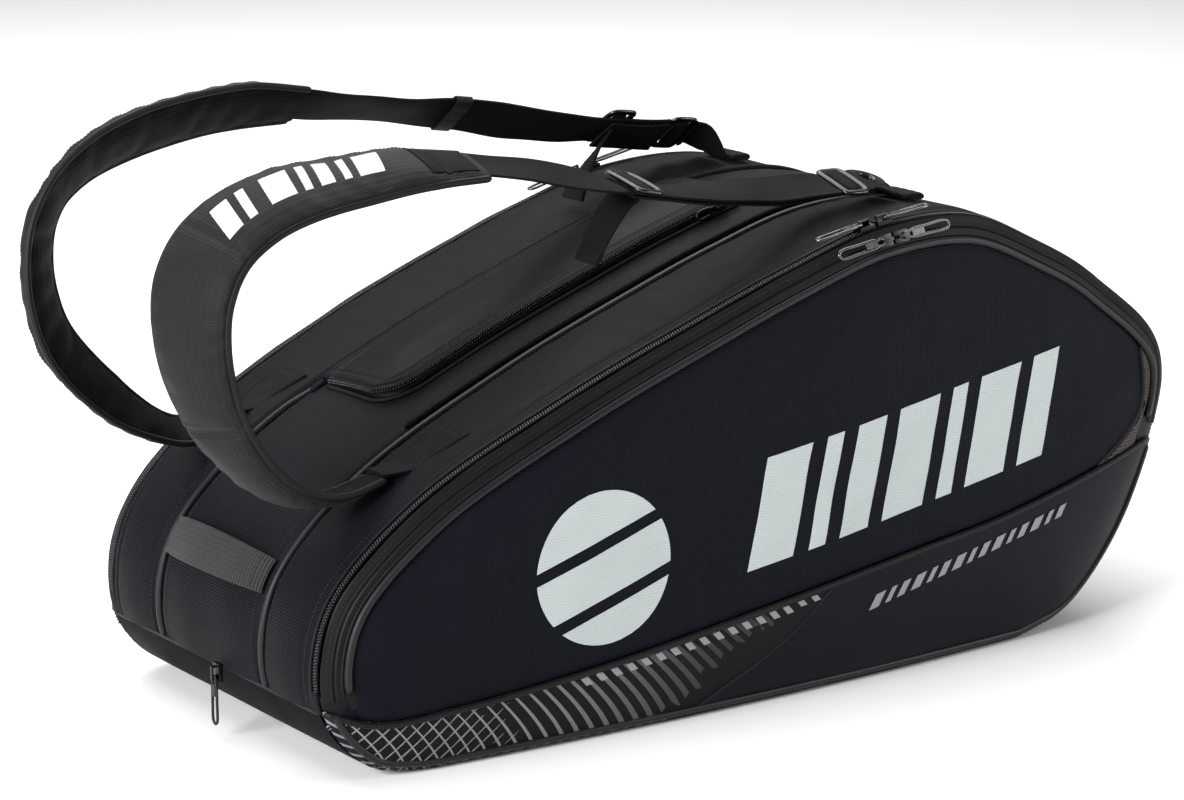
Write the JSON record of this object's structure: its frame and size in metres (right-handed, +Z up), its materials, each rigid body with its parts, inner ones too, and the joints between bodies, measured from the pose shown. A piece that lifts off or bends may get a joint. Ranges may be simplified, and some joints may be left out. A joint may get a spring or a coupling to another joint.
{
  "type": "racket tournament bag",
  "caption": "Long soft sports bag with zipped side panels, a zipped top flap, a grab handle and padded standing carry straps.",
  "frame": {"origin": "centre of the flat base, on the floor", "axes": "+X towards the head end along the bag's length, +Z up, -Y out of the decorated front side"},
  "size_m": [0.8793, 0.3725, 0.4506],
  "materials": {
    "ripstop": "fine ribbed ripstop, dark navy",
    "gusset_cloth": "ribbed charcoal polyester",
    "coated_cloth": "smooth coated cloth, slight sheen",
    "printed_cloth": "printed with grey stripes and a net pattern",
    "lining": "plain grey lining",
    "base_board": "matt",
    "spacer_mesh": "open spacer mesh",
    "webbing": "woven webbing",
    "handle_webbing": "ribbed grey-green webbing",
    "moulded_plastic": "moulded",
    "plated_metal": "nickel plated",
    "zip_coil": "coil zip"
  },
  "bodies": {
    "bag": {"centre_gusset": "gusset_cloth", "front_gusset": "gusset_cloth", "back_gusset": "gusset_cloth", "base_tray": "coated_cloth", "base_board": "base_board", "front_divider": "lining", "back_divider": "lining", "front_print_band": "printed_cloth", "back_print_band": "printed_cloth", "front_coated_panel": "coated_cloth", "back_coated_panel": "coated_cloth", "front_zip_chain": "zip_coil", "back_zip_chain": "zip_coil", "flap_coaming": "gusset_cloth", "flap_zip_chain": "zip_coil", "grab_handle": "handle_webbing", "front_strap_anchor": "webbing", "back_strap_anchor": "webbing", "front_eye_connector": "moulded_plastic"},
    "front_lid": {"front_panel": "ripstop", "front_lid_rim": "gusset_cloth", "front_panel_piping": "ripstop", "front_mesh_insert": "spacer_mesh", "front_lining": "lining", "side_pocket_zip_chain": "zip_coil"},
    "back_lid": {"back_panel": "ripstop", "back_lid_rim": "gusset_cloth", "back_panel_piping": "ripstop"},
    "pocket_flap": {"top_flap": "coated_cloth"},
    "front_strap": {"front_strap_pad": "ripstop", "front_strap_mesh": "spacer_mesh", "front_strap_webbing": "webbing", "front_strap_tail": "webbing", "front_end_buckle": "plated_metal", "front_anchor_webbing": "webbing"},
    "back_strap": {"back_strap_pad": "ripstop", "back_strap_mesh": "spacer_mesh", "back_strap_webbing": "webbing", "back_strap_tail": "webbing", "back_end_buckle": "plated_metal", "back_anchor_webbing": "webbing", "back_strap_keeper": "webbing"},
    "front_adjuster_body": {"front_adjuster": "plated_metal"},
    "back_adjuster_body": {"back_adjuster": "plated_metal"},
    "front_handle_slider_body": {"front_handle_slider": "plated_metal"},
    "front_handle_pull_body": {"front_handle_pull": "plated_metal"},
    "front_head_slider_body": {"front_head_slider": "plated_metal"},
    "front_head_pull_body": {"front_head_pull": "plated_metal"},
    "side_pocket_handle_slider_body": {"side_pocket_handle_slider": "plated_metal"},
    "side_pocket_handle_pull_body": {"side_pocket_handle_pull": "plated_metal"},
    "side_pocket_head_slider_body": {"side_pocket_head_slider": "plated_metal"},
    "side_pocket_head_pull_body": {"side_pocket_head_pull": "plated_metal"},
    "back_handle_slider_body": {"back_handle_slider": "plated_metal"},
    "back_handle_pull_body": {"back_handle_pull": "plated_metal"},
    "back_head_slider_body": {"back_head_slider": "plated_metal"},
    "back_head_pull_body": {"back_head_pull": "plated_metal"},
    "flap_slider_body": {"flap_slider": "plated_metal"},
    "flap_pull_body": {"flap_pull": "plated_metal"},
    "end_slider_body": {"end_slider": "plated_metal"},
    "end_pull_body": {"end_pull": "plated_metal"}
  },
  "joints": [
    {"name": "front_lid_hinge", "type": "hinge", "parent": "bag", "child": "front_lid", "pos_m": [0, -0.186, 0.08], "axis": [0.9911, 0, 0.133], "range_deg": [0, 75]},
    {"name": "back_lid_hinge", "type": "hinge", "parent": "bag", "child": "back_lid", "pos_m": [0, 0.186, 0.08], "axis": [-0.9911, 0, -0.133], "range_deg": [0, 75]},
    {"name": "flap_hinge", "type": "hinge", "parent": "bag", "child": "pocket_flap", "pos_m": [-0.251, 0.067, 0.224], "axis": [-0.9357, 0, -0.3528], "range_deg": [0, 65]},
    {"name": "front_strap_hinge", "type": "hinge", "parent": "bag", "child": "front_strap", "pos_m": [-0.314, -0.11, 0.199], "axis": [0.9478, 0.0063, 0.3187], "range_deg": [-3, 10]},
    {"name": "back_strap_hinge", "type": "hinge", "parent": "bag", "child": "back_strap", "pos_m": [-0.314, 0.11, 0.199], "axis": [-0.9478, 0.0063, -0.3187], "range_deg": [-3, 10]},
    {"name": "front_adjuster_slide", "type": "slide", "parent": "front_strap", "child": "front_adjuster_body", "axis": [0.9771, 0, -0.2126], "range_m": [-0.012, 0.012]},
    {"name": "back_adjuster_slide", "type": "slide", "parent": "back_strap", "child": "back_adjuster_body", "axis": [0.9921, 0, -0.1251], "range_m": [-0.012, 0.012]},
    {"name": "front_handle_slider_slide", "type": "slide", "parent": "bag", "child": "front_handle_slider_body", "axis": [-0.9841, 0, -0.1779], "range_m": [0, 0.04]},
    {"name": "front_handle_pull_hinge", "type": "hinge", "parent": "front_handle_slider_body", "child": "front_handle_pull_body", "pos_m": [0.06697, -0.1671, 0.34453], "axis": [0, 1, 0], "range_deg": [0, 100]},
    {"name": "front_head_slider_slide", "type": "slide", "parent": "bag", "child": "front_head_slider_body", "axis": [0.9933, 0, 0.1153], "range_m": [0, 0.04]},
    {"name": "front_head_pull_hinge", "type": "hinge", "parent": "front_head_slider_body", "child": "front_head_pull_body", "pos_m": [0.08819, -0.1667, 0.3476], "axis": [0, -1, 0], "range_deg": [0, 100]},
    {"name": "side_pocket_handle_slider_slide", "type": "slide", "parent": "front_lid", "child": "side_pocket_handle_slider_body", "axis": [-0.9887, 0, -0.1497], "range_m": [0, 0.03]},
    {"name": "side_pocket_handle_pull_hinge", "type": "hinge", "parent": "side_pocket_handle_slider_body", "child": "side_pocket_handle_pull_body", "pos_m": [0.07503, -0.18373, 0.33364], "axis": [-0.1412, 0.3334, 0.9322], "range_deg": [0, 100]},
    {"name": "side_pocket_head_slider_slide", "type": "slide", "parent": "front_lid", "child": "side_pocket_head_slider_body", "axis": [0.9947, 0, 0.1033], "range_m": [0, 0.03]},
    {"name": "side_pocket_head_pull_hinge", "type": "hinge", "parent": "side_pocket_head_slider_body", "child": "side_pocket_head_pull_body", "pos_m": [0.0951, -0.18337, 0.33608], "axis": [0.0976, -0.3275, -0.9398], "range_deg": [0, 100]},
    {"name": "back_handle_slider_slide", "type": "slide", "parent": "bag", "child": "back_handle_slider_body", "axis": [-0.966, 0, -0.2587], "range_m": [0, 0.04]},
    {"name": "back_handle_pull_hinge", "type": "hinge", "parent": "back_handle_slider_body", "child": "back_handle_pull_body", "pos_m": [0.04248, 0.16757, 0.33874], "axis": [0, 1, 0], "range_deg": [0, 100]},
    {"name": "back_head_slider_slide", "type": "slide", "parent": "bag", "child": "back_head_slider_body", "axis": [0.9775, 0, 0.2109], "range_m": [0, 0.04]},
    {"name": "back_head_pull_hinge", "type": "hinge", "parent": "back_head_slider_body", "child": "back_head_pull_body", "pos_m": [0.06323, 0.16728, 0.34379], "axis": [0, -1, 0], "range_deg": [0, 100]},
    {"name": "flap_slider_slide", "type": "slide", "parent": "bag", "child": "flap_slider_body", "axis": [-0.9624, 0, -0.2716], "range_m": [0, 0.05]},
    {"name": "flap_pull_hinge", "type": "hinge", "parent": "flap_slider_body", "child": "flap_pull_body", "pos_m": [0.03559, -0.0354, 0.34013], "axis": [-0.2716, 0, 0.9624], "range_deg": [0, 100]},
    {"name": "end_slider_slide", "type": "slide", "parent": "bag", "child": "end_slider_body", "axis": [0, 1, 0], "range_m": [0, 0.05]},
    {"name": "end_pull_hinge", "type": "hinge", "parent": "end_slider_body", "child": "end_pull_body", "pos_m": [-0.3957, -0.02, 0.0476], "axis": [0, 1, 0], "range_deg": [0, 100]}
  ]
}
